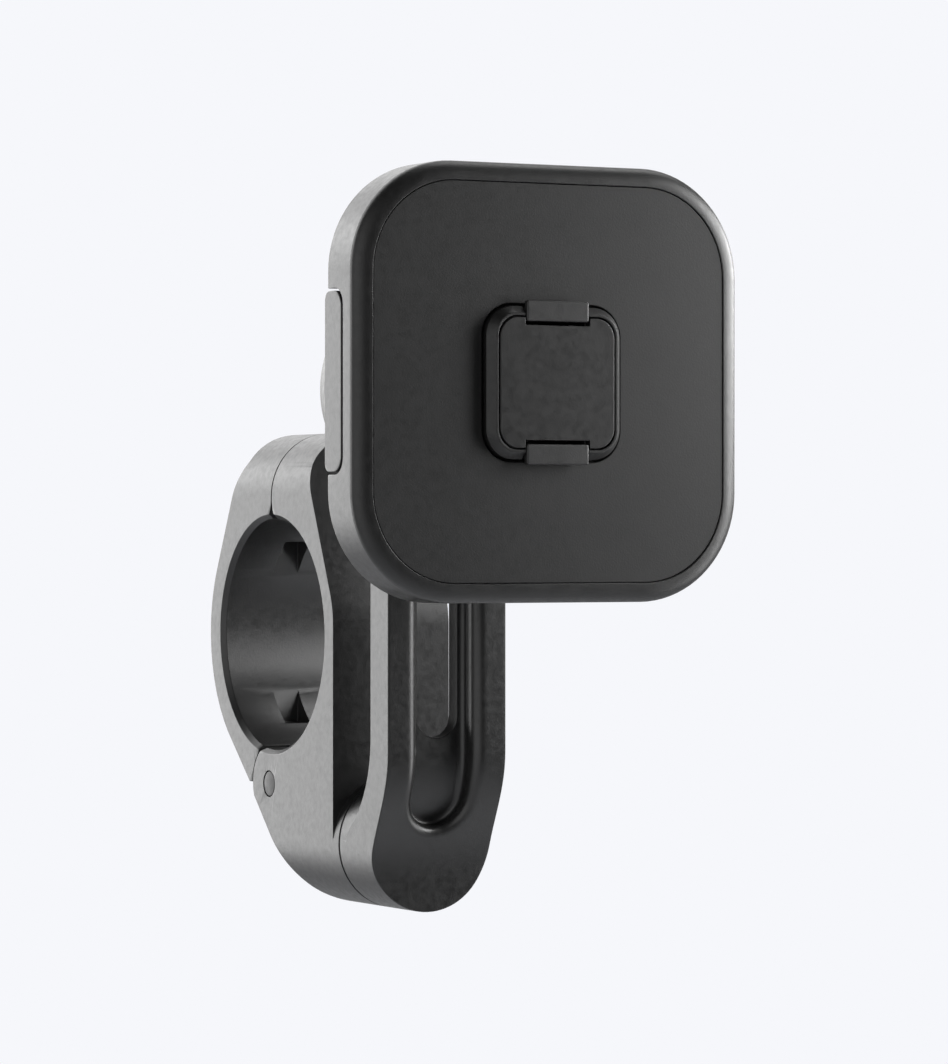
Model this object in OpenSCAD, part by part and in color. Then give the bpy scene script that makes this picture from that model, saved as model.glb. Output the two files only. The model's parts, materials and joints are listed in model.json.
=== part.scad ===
// Phone mount for a handlebar: a hinged clamp, a slotted swinging arm, and a square head
// with a sprung mechanical lock. Origin at the centre of the clamp's bore, +X along the
// handlebar, the head facing -Y, +Z up.

/* [Handlebar clamp] */
// Diameter of the handlebar
bar_d = 35; // [33:0.1:35.4]
// Width of the clamp and the arm along the bar
clamp_w = 19.3; // [19:0.1:22]
// Height of the clamp's top above the bar's centre
clamp_top = 30.5; // [30:0.1:32]
// Distance from the bar's centre to the flat front face
clamp_front = 21; // [20.5:0.1:21.4]
// Radius of the jaw's back about the bar's centre
jaw_back_r = 21.8; // [21:0.1:23]
// Radius of the hinge pin
hinge_pin_r = 2; // [1.5:0.1:2.2]

/* [Arm] */
// Thickness of the arm's plate
arm_t = 5.7; // [5.5:0.1:6.5]
// Gap between the clamp's front face and the arm's back
arm_gap = 12.1; // [12:0.1:13]
// Height of the arm's top end
arm_top = 52; // [48:0.5:56]
// Width of the slot as seen from the front
slot_w = 9; // [8.6:0.1:9.6]
// Width of the through-slot that the bolt runs in
through_w = 6.6; // [6.6:0.1:7.4]

/* [Knob and ball joint] */
// Radius of the knob's domed side
knob_dome_r = 17.2; // [17:0.1:18.4]
// Radius of the ball
ball_r = 6; // [5.8:0.1:6.1]

/* [Head] */
// Width and height of the square head
head_w = 61; // [60:0.1:64]
// Corner radius of the head
head_corner = 15.4; // [14:0.1:16]
// Height of the head's centre above the bar's centre
head_z = 36.15; // [36:0.05:37]
// Width and height of the front panel
panel_w = 55.4; // [54.5:0.1:55.6]

/* [Phone lock] */
// Width and height of the opening round the lock block
lock_w = 22; // [21.6:0.1:22.4]
// Width of each latch tab
tab_w = 9.8; // [9:0.1:10]
// Travel of the release button
button_travel = 1.5; // [1.2:0.1:1.6]
// Travel of each latch
latch_travel = 0.5; // [0.3:0.05:0.5]

/* [Hidden] */
$fn = 96;

run = 0.05;                     // radial clearance of a running fit
press = 0.01;                   // radial clearance of a fixed pin or insert
play = 0.1;                     // clearance between sliding faces
over = 1;                       // how far a cut runs past a face

// Clamp
bore_r = bar_d / 2;
bore_chamfer = 0.7;
split = 0.24;                   // gap between the two halves at the top
lug_y = 11.4;                   // half depth of the top lug
lug_shoulder_z = 26.3;          // where the lug's straight sides end
front_blend_z = 4.2;            // where the sloped front meets the flat front
clamp_end_r = clamp_w / 2;      // both ends are full round
pivot_z = -30.4;                // axis of the arm's pivot, and centre of the lower end
clamp_bottom = pivot_z - clamp_end_r;
hinge = [0.8, -22.65];          // [y, z] of the hinge pin
ear_r = 5.7;
cheek_r = ear_r + 0.12;         // the jaw's cheeks sweep round the ears at this radius
knuckle_r = 5.1;
knuckle_w = 8.6;
heel_gap = 5.2;                 // from the hinge pin to the sloped underside
tail = [7.7, -22.6];            // [y, z] of the jaw's tail tip
notch_floor = 14.9;             // the shim notches' flat floors
notch_w = 4.2;
notch_top = 14;
boss_face = 22.8;               // front face of the pivot boss

// Clamp screw
screw_z = 24;
screw_r = 2.5;
screw_seat = 5.5;
screw_tip = 6;
insert_r = 3.9;
insert_back = 1;
insert_front = 9.5;
cap_head_r = 4.2;               // heads of the clamp screw and the pivot bolt
cap_socket_r = 2.3;
pocket_r = 4.5;                 // the counterbores they sit in

// Arm
arm_back = clamp_front + arm_gap;
arm_front = arm_back + arm_t;
disc_back = boss_face + 0.4;
arm_top_c = arm_top - clamp_end_r;
bend_top = -16.5;               // the front face starts to lean back here
bend_h = 19.5;
bend_depth = 6;
back_curve_r = 16.5;            // the gap's round floor behind the arm
back_curve_z = -14.5;
slot_depth = 3.3;
slot_end = -22.9;               // centre of the front slot's lower end
through_end = -11.3;            // centre of the through-slot's lower end
pivot_bolt_r = 2.5;
pivot_seat = 11.1;

// Knob, carriage and ball joint: distances in front of the bar's centre
knob_front = arm_back - 0.1;
knob_back = 24.4;
knob_dome_y = 36;
knob_flute_r = 4.2;
knob_flute_at = 17.5;           // the flutes' distance from the knob's axis
knob_insert_r = 4.6;
knob_washer_r = 6.5;
bolt_r = 3;
journal_r = 4;
carriage_r = 12;
carriage_front = arm_front + 3.1;
socket_back = carriage_front + play;
socket_floor = socket_back + 2.5;
bolt_head_front = socket_floor + 2.1;
ball_y = bolt_head_front + 0.2 + ball_r;
socket_front = ball_y + 0.7;
collar_front = ball_y + 3.6;
seat_r = 9;

// Head: distances in front of the bar's centre
head_back = 61.2;
back_wall = 1.5;
side_wall = 1.8;
band_front = 68.2;
bezel_front = 69.9;
panel_front = 69.75;
panel_back = 68.5;
bezel_w = (head_w - panel_w) / 2 - play;
stud_flange_r = 9;
stud_flange_back = 60;
stud_screw_circle = 6.3;
magnet_inner = 22.6;
magnet_outer = 26.7;
magnet_count = 16;

// Lock
block_w = lock_w - 0.8;
block_corner = 4.2;
block_front = 71.5;
block_lean = 0.95;              // the bevel round the lock block
block_land = 0.38;              // the flat rim inside the bevel
plate_w = block_w - 2 * (block_lean + block_land + 0.12);
plate_corner = 2.8;
plate_front = 71.6;
block_wall = plate_front - 1.3;  // the block's sides are upright to here, then bevelled
flange_w = 29;
flange_back = 66.2;
flange_front = 68.4;
post_at = 11.6;
tab_inner = 8.5;                // latch tab, from the head's centre
tab_outer = 11.35;
tab_back = 70.7;
tab_front = 71.75;
riser_outer = 9.9;
latch_inner = 4.5;
latch_back = 64.2;
latch_front = 66.1;
latch_w = tab_w - play;
cam_back = 63;
cam_front = 64;
cam_pin_r = 0.75;
cam_pin_at = [3, 6.5];
spring_h = 65.15;
spring_r = 0.65;
spring_wire = 0.14;
spring_turns = 7;
rib_half = 0.4;
button_h = 24.84;
button_back = head_back - 0.6;  // the button stands out a little behind the shell
button_front = 65.62;
button_corner = 2.2;            // its front corners
button_heel = 1.2;              // its back corners
button_proud = 0.12;
button_skin = 0.35;             // how far its thin back part reaches into the shell
button_end_gap = 0.38;
button_front_gap = 0.24;

// ---- helpers ----

function unit(v) = v / norm(v);

// Points of a round of radius r at corner b, between the directions to a and to c
function rounded(a, b, c, r, steps = 8) =
    let (u = unit(a - b), v = unit(c - b), half = acos(u * v) / 2,
         centre = b + unit(u + v) * r / sin(half),
         from = b + u * r / tan(half) - centre,
         turn = (cross(u, v) > 0 ? -1 : 1) * (180 - 2 * half))
    [for (i = [0 : steps])
        let (t = turn * i / steps)
        centre + [from.x * cos(t) - from.y * sin(t), from.x * sin(t) + from.y * cos(t)]];

// A side outline in (y, z), as wide as w along X
module across(w) rotate([90, 0, 90]) linear_extrude(w, center = true) children();

// A front outline in (x, z), from y = -front to y = -back
module facing(front, back)
    translate([0, -back, 0]) rotate([90, 0, 0]) linear_extrude(front - back) children();

// A round bar along Y, from y = -front to y = -back, at height z
module rod_y(r, front, back, z = 0)
    translate([0, -back, z]) rotate([90, 0, 0]) cylinder(r = r, h = front - back);

// A round bar along X through (y, z)
module rod_x(r, w, at = [0, 0])
    translate([-w / 2, at.x, at.y]) rotate([0, 90, 0]) cylinder(r = r, h = w);

// An upright slot outline with round ends centred at z0 and z1
module stadium(r, z0, z1) {
    translate([0, z0]) circle(r);
    translate([0, z1]) circle(r);
    translate([-r, z0]) square([2 * r, z1 - z0]);
}

module rounded_square(w, r) {
    square([w, w - 2 * r], center = true);
    square([w - 2 * r, w], center = true);
    for (x = [-1, 1], y = [-1, 1]) translate([x, y] * (w / 2 - r)) circle(r);
}

// The head's own frame: x across, y up, z forwards from the bar's centre
module on_head() translate([0, 0, head_z]) rotate([90, 0, 0]) children();

// A flat layer of the head between two distances
module layer(back, front) translate([0, 0, back]) linear_extrude(front - back) children();

// A block of the head, given by its limits across, up and forwards
module block(x, y, z)
    translate([x[0], y[0], z[0]]) cube([x[1] - x[0], y[1] - y[0], z[1] - z[0]]);

// Sweeps a section round a rounded square: the section's x is the distance inwards
module rim(w, r) {
    for (i = [0 : 3]) rotate([0, 0, 90 * i]) {
        translate([w / 2 - r, w / 2 - r, 0])
            rotate_extrude(angle = 90) translate([r, 0]) mirror([1, 0]) children();
        translate([w / 2, 0, 0]) rotate([90, 0, 0])
            linear_extrude(w - 2 * r, center = true) mirror([1, 0]) children();
    }
}

// A socket-head screw pointing back along -z: the underside of its head is at z = 0
module cap_screw(r, length, head_r, head_h, socket_r) {
    difference() {
        cylinder(r = head_r, h = head_h);
        translate([0, 0, head_h / 2]) cylinder(r = socket_r, h = head_h, $fn = 6);
    }
    translate([0, 0, -length]) cylinder(r = r, h = length + head_h / 4);
}

// ---- handlebar clamp ----

module clamp_ends() facing(60, -60) stadium(clamp_end_r, pivot_z, clamp_top - clamp_end_r);

module bore_cut() {
    rod_x(bore_r, clamp_w + 2 * over);
    for (side = [-1, 1])
        translate([side * (clamp_w / 2 - bore_chamfer), 0, 0]) rotate([0, side * 90, 0])
            cylinder(r1 = bore_r, r2 = bore_r + bore_chamfer + over, h = bore_chamfer + over);
}

// Rounds off the split's mouth where it opens into the bore
module split_mouth() across(clamp_w + 2 * over)
    polygon([
        [-0.75, bore_r - over], [-0.75, bore_r + bore_chamfer], [-0.4, bore_r + 1.35],
        [-0.2, bore_r + 2.2], [0, bore_r + 3], [0.2, bore_r + 2.2],
        [0.4, bore_r + 1.35], [0.75, bore_r + bore_chamfer], [0.75, bore_r - over]
    ]);

// Two notches that key a shim, in the wall on one side of the bore
module shim_notches(side)
    for (up = [-1, 1])
        translate([-notch_w / 2, side > 0 ? 0 : -notch_floor, up > 0 ? 0 : -notch_top])
            cube([notch_w, notch_floor, notch_top]);

// The front half, from the split at the top to the sloped heel under the hinge
module clamp_base_outline() {
    heel = [clamp_bottom + hinge.x - hinge.y + heel_gap * sqrt(2), clamp_bottom];
    slope = [hinge.x + heel_gap / sqrt(2), hinge.y - heel_gap / sqrt(2)];
    shoulder = [-lug_y, lug_shoulder_z];
    blend = [-clamp_front, front_blend_z];
    low = [-clamp_front, clamp_bottom];
    polygon(concat(
        [[-split / 2, clamp_top]],
        rounded([0, clamp_top], [-lug_y, clamp_top], shoulder, 1),
        rounded([-lug_y, clamp_top], shoulder, blend, 6),
        rounded(shoulder, blend, low, 12),
        [low],
        rounded(low, heel, slope, 8),
        [slope, hinge, [-split / 2, 0]]
    ));
}

module clamp_base() color("dimgray") difference() {
    union() {
        intersection() {
            union() {
                across(clamp_w) clamp_base_outline();
                across(clamp_w) intersection() {
                    translate(hinge) circle(ear_r);
                    translate(hinge) rotate(-45)
                        translate([-ear_r * 2, -ear_r * 2]) square([ear_r * 2 + heel_gap, ear_r * 4]);
                }
            }
            clamp_ends();
        }
        rod_y(clamp_end_r, boss_face, clamp_front - 2, pivot_z);
    }
    bore_cut();
    split_mouth();
    shim_notches(-1);
    rod_x(hinge_pin_r + press, clamp_w + 2 * over, hinge);
    rod_x(knuckle_r + 0.3, knuckle_w + 0.2, hinge);
    translate([-knuckle_w / 2 - 0.1, hinge.x + 1.5, hinge.y - 6.5])
        cube([knuckle_w + 0.2, 12, 12]);
    rod_y(insert_r + press, insert_front + play, -over, screw_z);
    rod_y(pivot_bolt_r + run, boss_face + over, 0, pivot_z);
    rod_y(pocket_r, pivot_seat, -12, pivot_z);
}

module hinge_pin() color("gray") rod_x(hinge_pin_r, clamp_w - 0.1, hinge);

module clamp_insert() color("goldenrod") difference() {
    rod_y(insert_r, insert_front, insert_back, screw_z);
    rod_y(screw_r + 0.5, insert_front + over, 0, screw_z);
}

module jaw_outline() {
    upper = 26.2;               // the arc's upper tangent angle
    lower = -47;
    tangent = jaw_back_r * [cos(upper), sin(upper)];
    shoulder = [lug_y - 0.1, tangent.y + (tangent.x - lug_y + 0.1) / tan(upper)];
    difference() {
        union() {
            intersection() {
                circle(jaw_back_r);
                polygon([[0, 0], 40 * [cos(upper), sin(upper)], [60, 0], 40 * [cos(lower), sin(lower)]]);
            }
            polygon(concat(
                [[split / 2, 0], tangent, shoulder],
                rounded(shoulder, [shoulder.x, clamp_top], [0, clamp_top], 1),
                [[split / 2, clamp_top]]
            ));
            polygon([
                [split / 2, 0],
                [hinge.x + cheek_r - 1, tail.y],
                tail,
                jaw_back_r * [cos(lower), sin(lower)]
            ]);
        }
        circle(bore_r);
    }
}

module rear_jaw() color("dimgray") difference() {
    union() {
        difference() {
            intersection() {
                across(clamp_w) jaw_outline();
                clamp_ends();
            }
            rod_x(cheek_r, clamp_w + over, hinge);
        }
        intersection() {
            across(knuckle_w) union() {
                translate(hinge) circle(knuckle_r);
                polygon([hinge, hinge + [7, -0.1], hinge + [8, 6], hinge + [2.5, 5.5]]);
            }
            across(knuckle_w + over) difference() {
                circle(jaw_back_r + 6);
                circle(bore_r);
            }
        }
    }
    bore_cut();
    split_mouth();
    shim_notches(1);
    rod_x(hinge_pin_r + run, clamp_w, hinge);
    rod_y(screw_r + run, over, -20, screw_z);
    rod_y(pocket_r, -screw_seat, -20, screw_z);
}

module clamp_washer() color("silver") difference() {
    rod_y(cap_head_r, -screw_seat - 0.02, -screw_seat - 0.5, screw_z);
    rod_y(screw_r + play, 0, -20, screw_z);
}

module clamp_screw() color("darkgray")
    translate([0, screw_seat + 0.52, screw_z]) rotate([-90, 0, 0])
        cap_screw(screw_r, screw_seat + 0.52 + screw_tip, cap_head_r, 4.8, cap_socket_r);

// ---- arm ----

function ease(t) = (1 - cos(180 * min(max(t, 0), 1))) / 2;
function lean(z) = bend_depth * ease((bend_top - z) / bend_h);

// Everything in front of a face that follows the arm's front, set back by depth
module front_zone(depth, far) {
    steps = 24;
    polygon(concat(
        [[-far, arm_top + over], [-arm_front + depth, arm_top + over]],
        [for (i = [0 : steps])
            let (z = bend_top - bend_h * i / steps) [-arm_front + depth + lean(z), z]],
        [[-arm_front + depth + bend_depth, clamp_bottom - over], [-far, clamp_bottom - over]]
    ));
}

module arm_outline() difference() {
    polygon([
        [-arm_front, arm_top + over], [-arm_back, arm_top + over],
        [-arm_back, back_curve_z], [-disc_back, back_curve_z],
        [-disc_back, clamp_bottom - over], [-arm_front, clamp_bottom - over]
    ]);
    front_zone(0, arm_front + over);
    translate([-arm_back + back_curve_r, back_curve_z]) circle(back_curve_r);
}

module arm() color("dimgray") difference() {
    union() {
        intersection() {
            across(clamp_w) arm_outline();
            facing(60, 0) stadium(clamp_end_r, pivot_z, arm_top_c);
        }
        rod_y(clamp_end_r, disc_back + 6, disc_back, pivot_z);
    }
    intersection() {
        across(slot_w) front_zone(slot_depth, arm_front + over);
        facing(60, 0) stadium(slot_w / 2, slot_end, arm_top_c);
    }
    facing(60, 20) stadium(through_w / 2, through_end, arm_top_c);
    rod_y(pivot_bolt_r + press, 30.6, 0, pivot_z);
}

module pivot_bolt() color("darkgray")
    translate([0, -pivot_seat + 0.58, pivot_z]) rotate([-90, 0, 0])
        cap_screw(pivot_bolt_r, 20, cap_head_r, 4.6, cap_socket_r);

module pivot_spring_washer() color("silver") difference() {
    rod_y(4.1, pivot_seat - 0.02, pivot_seat - 0.56, pivot_z);
    rod_y(pivot_bolt_r + play, 20, 0, pivot_z);
}

module pivot_friction_disc() color("black") difference() {
    rod_y(clamp_end_r - 0.12, disc_back - 0.02, boss_face + 0.02, pivot_z);
    rod_y(pivot_bolt_r + play, 30, 0, pivot_z);
}

// ---- knob, carriage and ball joint ----

module carriage() color("dimgray") difference() {
    union() {
        rod_y(carriage_r, carriage_front, arm_front + play, head_z);
        facing(arm_front + over, arm_front - slot_depth + play)
            stadium(slot_w / 2 - play, head_z - 6, head_z);
    }
    rod_y(bolt_r + run, 60, 20, head_z);
}

module carriage_bolt() color("darkgray") difference() {
    union() {
        rod_y(6, bolt_head_front, socket_floor + 0.05, head_z);
        rod_y(journal_r, socket_floor + 0.5, carriage_front + 0.05, head_z);
        rod_y(bolt_r, carriage_front + 1, knob_back + 1.4, head_z);
    }
    translate([0, -bolt_head_front + 1.2, head_z]) rotate([90, 0, 0])
        cylinder(r = 2.9, h = 3, $fn = 6);
}

module knob_washer() color("silver") difference() {
    rod_y(knob_washer_r, arm_back - 0.05, arm_back - 0.85, head_z);
    rod_y(bolt_r + play, 60, 20, head_z);
}

// A domed hand knob with a flat back and finger flutes round the edge of it
module clamp_knob() color("dimgray") difference() {
    intersection() {
        translate([0, -knob_dome_y, head_z]) sphere(r = knob_dome_r);
        rod_y(knob_dome_r, knob_front, knob_back, head_z);
    }
    rod_y(knob_washer_r + 0.2, knob_front + over, arm_back - 0.9, head_z);
    rod_y(knob_insert_r + press, knob_front, knob_back + 0.9, head_z);
    for (i = [0 : 5]) rotate_about_head(30 + 60 * i)
        translate([knob_flute_at, -knob_back - 1, 0]) sphere(r = knob_flute_r, $fn = 48);
}

module rotate_about_head(angle) translate([0, 0, head_z]) rotate([0, angle, 0]) children();

module knob_insert() color("goldenrod") difference() {
    rod_y(knob_insert_r, knob_front - 1, knob_back + 1, head_z);
    rod_y(bolt_r + run, 60, knob_back + 1.3, head_z);
}

module ball_socket() color("dimgray") difference() {
    rod_y(carriage_r, socket_front, socket_back, head_z);
    rod_y(journal_r + run, 60, 20, head_z);
    rod_y(6.3, 60, socket_floor, head_z);
    rod_y(seat_r + run, 60, bolt_head_front + 0.1, head_z);
}

module ball_space() translate([0, -ball_y, head_z]) sphere(r = ball_r + run);

module ball_seat() color("white") difference() {
    rod_y(seat_r, ball_y - 0.2, bolt_head_front + 0.15, head_z);
    ball_space();
    rod_y(4.4, 60, 20, head_z);
}

module socket_collar() color("dimgray") difference() {
    union() {
        rod_y(seat_r, socket_front + 1, ball_y, head_z);
        rod_y(carriage_r, collar_front, socket_front + play, head_z);
    }
    ball_space();
    rod_y(4.9, 60, ball_y, head_z);
}

module ball_stud() color("silver") difference() {
    union() {
        translate([0, -ball_y, head_z]) sphere(r = ball_r);
        rod_y(3, head_back - 0.5, ball_y, head_z);
        rod_y(stud_flange_r, head_back - 0.03, stud_flange_back, head_z);
    }
    at_stud_screws() translate([0, 0, stud_flange_back - over]) cylinder(r = 1.26, h = 4);
}

module at_stud_screws()
    on_head() for (i = [0 : 2]) rotate(90 + 120 * i) translate([stud_screw_circle, 0, 0]) children();

module stud_screws() color("darkgray")
    at_stud_screws() translate([0, 0, head_back + 0.82]) cap_screw(1.25, 1.9, 2.2, 0.62, 0.9);

// ---- head ----

module at_posts() for (x = [-1, 1], y = [-1, 1]) translate([x, y, 0] * post_at) children();

// The button's side outline in (forwards, up)
module button_outline() {
    half = button_h / 2;
    low_back = [button_back, -half];
    high_back = [button_back, half];
    low_front = [button_front, -half];
    high_front = [button_front, half];
    polygon(concat(
        rounded(low_back, low_front, high_front, button_corner),
        rounded(low_front, high_front, high_back, button_corner),
        rounded(high_front, high_back, low_back, button_heel),
        rounded(high_back, low_back, low_front, button_heel)
    ));
}

// The opening round it, which runs out through the shell's back
module button_opening() {
    half = button_h / 2 + button_end_gap;
    front = button_front + button_front_gap;
    corner = button_corner + button_front_gap;
    polygon(concat(
        [[head_back - over, -half]],
        rounded([head_back, -half], [front, -half], [front, half], corner),
        rounded([front, -half], [front, half], [head_back, half], corner),
        [[head_back - over, half]]
    ));
}

// Extrudes an outline in (forwards, up) across the head, between two distances from its middle
module sideways(x0, x1)
    translate([x1, 0, 0]) rotate([0, -90, 0]) linear_extrude(x1 - x0) children();

module head_shell() color("gray") on_head() {
    inner_w = head_w - 2 * side_wall;
    inner_r = head_corner - side_wall;
    difference() {
        union() {
            difference() {
                layer(head_back, band_front) rounded_square(head_w, head_corner);
                layer(head_back + back_wall, band_front + over) rounded_square(inner_w, inner_r);
            }
            cam_rails();
        }
        button_window();
        for (i = [0 : 2]) rotate(90 + 120 * i) translate([stud_screw_circle, 0, 0]) {
            translate([0, 0, head_back - over]) cylinder(r = 1.35, h = 5);
            translate([0, 0, head_back + 0.8]) cylinder(r = 2.3, h = 5);
        }
    }
    at_posts() difference() {
        translate([0, 0, head_back + 1]) cylinder(r = 2.2, h = flange_back - head_back - 1);
        translate([0, 0, head_back + 2]) cylinder(r = 0.81, h = 6);
    }
}

// Two rails on the back wall that the cam slider runs on
module cam_rails()
    for (y = [-1, 1]) translate([0, y * 6, 0])
        block([-14, 8], [-1.2, 1.2], [head_back + 1, cam_back - 0.05]);

// The button's opening: right through the side wall, and a shallow notch in the back wall
module button_window() {
    sheer = head_w / 2;
    intersection() {
        sideways(-sheer - over, -sheer + side_wall + over) button_opening();
        union() {
            block([-sheer - 2, -sheer + 4], [-20, 20], [head_back + back_wall, 70]);
            block([-sheer - 2, -sheer + button_skin + button_travel + play], [-20, 20], [head_back - 2, 70]);
        }
    }
}

module head_bezel() color("black") on_head() {
    rise = bezel_front - band_front;
    steps = 8;
    rim(head_w, head_corner) polygon(concat(
        [for (i = [0 : steps])
            let (t = 90 * i / steps)
            [bezel_w * 0.95 * (1 - cos(t)), band_front + 0.03 + (rise - 0.03) * sin(t)]],
        [
            [bezel_w, bezel_front], [bezel_w, panel_back - 0.05],
            [3.6, panel_back - 0.05], [3.6, 67.3],
            [side_wall + 0.05, 67.3], [side_wall + 0.05, band_front + 0.03]
        ]
    ));
}

module front_panel() color("black") on_head() difference() {
    layer(panel_back, panel_front) rounded_square(panel_w, head_corner - bezel_w - play);
    layer(panel_back - over, panel_front + over) rounded_square(lock_w, 4.6);
}

// Curved magnets set side by side in a ring
module magnet_ring() color("silver") on_head() {
    pitch = 360 / magnet_count;
    gap_angle = 1.6;
    for (i = [0 : magnet_count - 1]) rotate(pitch * i + gap_angle / 2)
        rotate_extrude(angle = pitch - gap_angle)
            translate([magnet_inner, panel_back - 1.55]) square([magnet_outer - magnet_inner, 1.5]);
}

module magnet_back_iron() color("gray") on_head() difference() {
    layer(panel_back - 2.3, panel_back - 1.6) circle(magnet_outer);
    layer(panel_back - 3, panel_back) circle(magnet_inner);
}

// ---- lock ----

module lock_frame() color("black") on_head() difference() {
    union() {
        difference() {
            layer(flange_back, flange_front) rounded_square(flange_w, 3.5);
            at_posts() {
                translate([0, 0, flange_back - over]) cylinder(r = 0.9, h = 5);
                translate([0, 0, flange_front - 1.05]) cylinder(r = 1.75, h = 5);
            }
        }
        layer(flange_front - 0.5, block_wall) rounded_square(block_w, block_corner);
        rim(block_w, block_corner) polygon([
            [0, block_wall - 0.5], [0, block_wall], [block_lean, block_front],
            [block_lean + block_land, block_front], [block_lean + block_land, block_wall - 0.5]
        ]);
        for (x = [-1, 1]) translate([x * (tab_w / 2 + play + 0.75), 0, 0])
            block([-0.75, 0.75], [-10.9, 10.9], [cam_front + 0.3, flange_back + 0.5]);
        block([-tab_w / 2 - 0.5, tab_w / 2 + 0.5], [-rib_half, rib_half],
              [cam_front + 0.3, flange_back + 0.5]);
    }
    for (up = [0, 1]) mirror([0, up, 0]) {
        block([-tab_w / 2 - play, tab_w / 2 + play],
              [tab_inner - latch_travel - 0.05, riser_outer + play], [flange_back - over, 75]);
        block([-tab_w / 2 - play, tab_w / 2 + play],
              [tab_inner - latch_travel - 0.05, 13], [flange_front + 0.02, 75]);
    }
}

module lock_plate() color("dimgray") on_head() difference() {
    layer(plate_front - 1.25, plate_front) rounded_square(plate_w, plate_corner);
    for (up = [0, 1]) mirror([0, up, 0])
        block([-tab_w / 2 - 0.2, tab_w / 2 + 0.2],
              [tab_inner - latch_travel - 0.05, 13], [60, 75]);
}

module lock_frame_screws() color("darkgray") on_head()
    at_posts() translate([0, 0, flange_front - 1.03]) cap_screw(0.8, 3.8, 1.6, 0.9, 0.7);

module latch() {
    block([-latch_w / 2, latch_w / 2], [latch_inner, riser_outer], [latch_back, latch_front]);
    block([-latch_w / 2, latch_w / 2], [tab_inner, riser_outer], [latch_front - 0.5, tab_front]);
    block([-tab_w / 2, tab_w / 2], [tab_inner, tab_outer], [tab_back, tab_front]);
    for (x = [-1, 1]) translate([x * cam_pin_at.x, cam_pin_at.y, cam_back + 0.05])
        cylinder(r = cam_pin_r, h = latch_back - cam_back, $fn = 48);
}

module upper_latch() color("dimgray") on_head() latch();
module lower_latch() color("dimgray") on_head() rotate(180) latch();

// A coil of round wire, standing up from z = 0
module coil(r, wire, length, turns) {
    around = 6;
    steps = 14 * turns;
    rise = length - 2 * wire;
    points = [for (i = [0 : steps], k = [0 : around - 1])
        let (a = 360 * turns * i / steps, b = 360 * k / around, d = r + wire * cos(b))
        [d * cos(a), d * sin(a), wire + rise * i / steps + wire * sin(b)]];
    sides = [for (i = [0 : steps - 1], k = [0 : around - 1])
        let (j = (k + 1) % around, p = i * around, q = p + around)
        [p + k, q + k, q + j, p + j]];
    polyhedron(points, concat(
        sides,
        [[for (k = [0 : around - 1]) k]],
        [[for (k = [around - 1 : -1 : 0]) steps * around + k]]
    ));
}

module latch_spring()
    translate([0, -spring_h, rib_half + 0.02])
        coil(spring_r, spring_wire, latch_inner - rib_half - 0.04, spring_turns);

module upper_latch_spring() color("silver") translate([0, 0, head_z]) latch_spring();
module lower_latch_spring() color("silver") translate([0, 0, head_z]) mirror([0, 0, 1]) latch_spring();

// The flat slider whose slanted slots draw both latches in as the button goes in
module cam_slider() color("gainsboro") on_head() difference() {
    block([-28.2, 8], [-9, 9], [cam_back, cam_front]);
    for (up = [-1, 1], side = [-1, 1])
        translate([side * cam_pin_at.x, up * cam_pin_at.y, cam_back - over])
            rotate(180 + up * atan(latch_travel / button_travel))
                linear_extrude(3) cam_slot(norm([button_travel, latch_travel]));
    translate([-16, 0, cam_back - over]) cylinder(r = 5, h = 3);
}

module cam_slot(travel) {
    half = cam_pin_r + run;
    circle(half, $fn = 48);
    translate([travel, 0]) circle(half, $fn = 48);
    translate([0, -half]) square([travel, 2 * half]);
}

module release_button() color("gray") on_head() {
    sheer = -head_w / 2;
    difference() {
        sideways(sheer - button_proud, sheer + button_travel) button_outline();
        block([sheer + button_skin, sheer + 3], [-20, 20],
              [button_back - over, head_back + back_wall + play]);
    }
    difference() {
        block([sheer + 1, sheer + 3.6], [-8.9, 8.9], [cam_back - 0.2, cam_front + 1]);
        block([sheer + 2.2, sheer + 5], [-10, 10], [cam_back - 0.05, cam_front + 0.05]);
    }
}

clamp_base();
hinge_pin();
clamp_insert();
rear_jaw();
clamp_washer();
clamp_screw();
arm();
pivot_bolt();
pivot_spring_washer();
pivot_friction_disc();
carriage();
carriage_bolt();
knob_washer();
clamp_knob();
knob_insert();
ball_socket();
ball_seat();
socket_collar();
ball_stud();
stud_screws();
head_shell();
head_bezel();
front_panel();
magnet_ring();
magnet_back_iron();
lock_frame();
lock_plate();
lock_frame_screws();
upper_latch();
lower_latch();
upper_latch_spring();
lower_latch_spring();
cam_slider();
release_button();
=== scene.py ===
"""Looks of the handlebar phone mount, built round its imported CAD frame."""

import json
import math

import bmesh
import bpy
from mathutils import Matrix, Vector


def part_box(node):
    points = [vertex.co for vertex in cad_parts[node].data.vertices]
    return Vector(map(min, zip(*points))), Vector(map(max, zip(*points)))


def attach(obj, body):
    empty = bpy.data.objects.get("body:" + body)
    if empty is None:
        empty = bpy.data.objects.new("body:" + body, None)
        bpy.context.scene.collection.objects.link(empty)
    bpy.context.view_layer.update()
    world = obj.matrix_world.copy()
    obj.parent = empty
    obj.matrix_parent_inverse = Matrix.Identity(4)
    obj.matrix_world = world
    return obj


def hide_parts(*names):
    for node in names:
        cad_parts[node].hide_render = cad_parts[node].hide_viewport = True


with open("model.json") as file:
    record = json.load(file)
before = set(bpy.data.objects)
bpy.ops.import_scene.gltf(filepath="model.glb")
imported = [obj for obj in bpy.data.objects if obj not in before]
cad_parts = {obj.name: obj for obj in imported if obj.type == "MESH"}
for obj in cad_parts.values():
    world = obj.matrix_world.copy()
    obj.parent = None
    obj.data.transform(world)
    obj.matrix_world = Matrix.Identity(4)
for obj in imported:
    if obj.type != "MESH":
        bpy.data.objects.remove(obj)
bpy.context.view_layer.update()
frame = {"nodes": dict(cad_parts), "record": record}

MM = 0.001
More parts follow.
